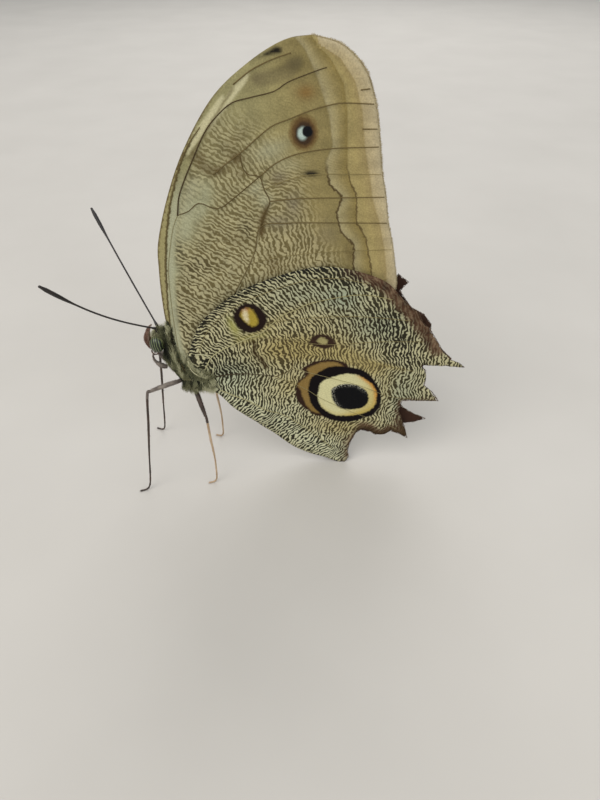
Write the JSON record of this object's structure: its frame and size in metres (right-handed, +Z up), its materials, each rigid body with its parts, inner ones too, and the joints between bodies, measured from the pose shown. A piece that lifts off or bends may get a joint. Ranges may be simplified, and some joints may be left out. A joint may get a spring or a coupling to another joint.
{
  "type": "owl butterfly figure",
  "caption": "Life-size still figure of an owl butterfly at rest, wings closed over the back, standing on its walking legs.",
  "frame": {"origin": "on the floor, under the middle of the bounding box", "axes": "+Z up; the head points to -X and the hindwing tails to +X; the animal's left side is -Y"},
  "size_m": [0.092, 0.0386, 0.1057],
  "materials": {
    "fur": "soft hair scales over the body wall",
    "eye": "glossy compound eye",
    "palp": "hair scales",
    "antenna": "bare dark cuticle",
    "leg": "scaled cuticle",
    "wing": "dry scaled membrane",
    "hindwing": "dry scaled membrane"
  },
  "bodies": {
    "root": {"head": "fur", "thorax": "fur", "abdomen": "fur", "eye_left": "eye", "eye_right": "eye", "palp_left": "palp", "palp_right": "palp", "proboscis": "antenna", "antenna_left": "antenna", "antenna_right": "antenna", "foreleg_left": "leg", "foreleg_right": "leg", "midleg_left": "leg", "midleg_right": "leg", "hindleg_left": "leg", "hindleg_right": "leg", "forewing_left": "wing", "forewing_right": "wing", "hindwing_left": "hindwing", "hindwing_right": "hindwing"}
  },
  "joints": []
}
